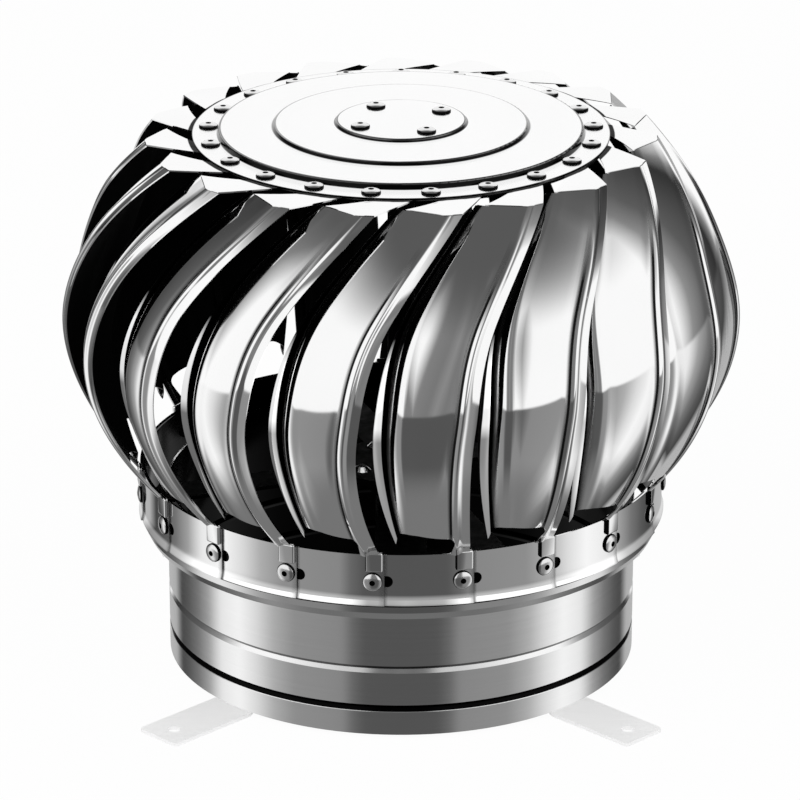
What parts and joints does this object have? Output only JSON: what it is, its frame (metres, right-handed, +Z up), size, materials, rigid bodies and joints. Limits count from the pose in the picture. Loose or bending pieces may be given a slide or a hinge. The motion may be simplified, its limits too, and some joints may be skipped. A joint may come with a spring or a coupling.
{
  "type": "rotating chimney cowl",
  "caption": "Wind-driven chimney cowl: a neck on four feet carries a shaft, and a rotor of curved overlapping vanes under a stepped top plate spins on it.",
  "frame": {"origin": "on the rotor's axis, at the level of the feet's undersides", "axes": "+Z up along the rotor's axis, -Y towards the pictured side, the feet on the diagonals of X and Y"},
  "size_m": [0.2861, 0.2852, 0.239],
  "materials": {
    "polished_steel": "bright annealed, mirror-like",
    "satin_steel": "satin",
    "rivet": "bright",
    "fastener_steel": "zinc plated",
    "cast_aluminium": "turned"
  },
  "bodies": {
    "base": {"neck": "satin_steel", "foot_back_right": "satin_steel", "foot_back_left": "satin_steel", "foot_front_left": "satin_steel", "foot_front_right": "satin_steel", "lower_cross_bar": "satin_steel", "upper_cross_bar": "satin_steel", "shaft": "fastener_steel", "spacer_tube": "fastener_steel", "shaft_clip": "fastener_steel", "shaft_washers": "fastener_steel", "shaft_nuts": "fastener_steel", "lower_bearing_inner_ring": "fastener_steel", "upper_bearing_inner_ring": "fastener_steel"},
    "rotor": {"lower_bearing_outer_ring": "fastener_steel", "upper_bearing_outer_ring": "fastener_steel", "lower_bearing_housing": "cast_aluminium", "upper_bearing_housing": "cast_aluminium", "top_plate": "polished_steel", "clamp_ring": "satin_steel", "rim_rivets": "rivet", "hub_rivets": "rivet", "rotor_ring": "satin_steel", "rotor_spider": "satin_steel", "spider_rivets": "rivet", "vane_rivets": "rivet", "vane_01": "polished_steel", "vane_02": "polished_steel", "vane_03": "polished_steel", "vane_04": "polished_steel", "vane_05": "polished_steel", "vane_06": "polished_steel", "vane_07": "polished_steel", "vane_08": "polished_steel", "vane_09": "polished_steel", "vane_10": "polished_steel", "vane_11": "polished_steel", "vane_12": "polished_steel", "vane_13": "polished_steel", "vane_14": "polished_steel", "vane_15": "polished_steel", "vane_16": "polished_steel", "vane_17": "polished_steel", "vane_18": "polished_steel", "vane_19": "polished_steel"}
  },
  "joints": [
    {"name": "rotor_spin", "type": "hinge", "parent": "base", "child": "rotor", "pos_m": [0, 0, 0], "axis": [0, 0, 1], "continuous": true}
  ]
}
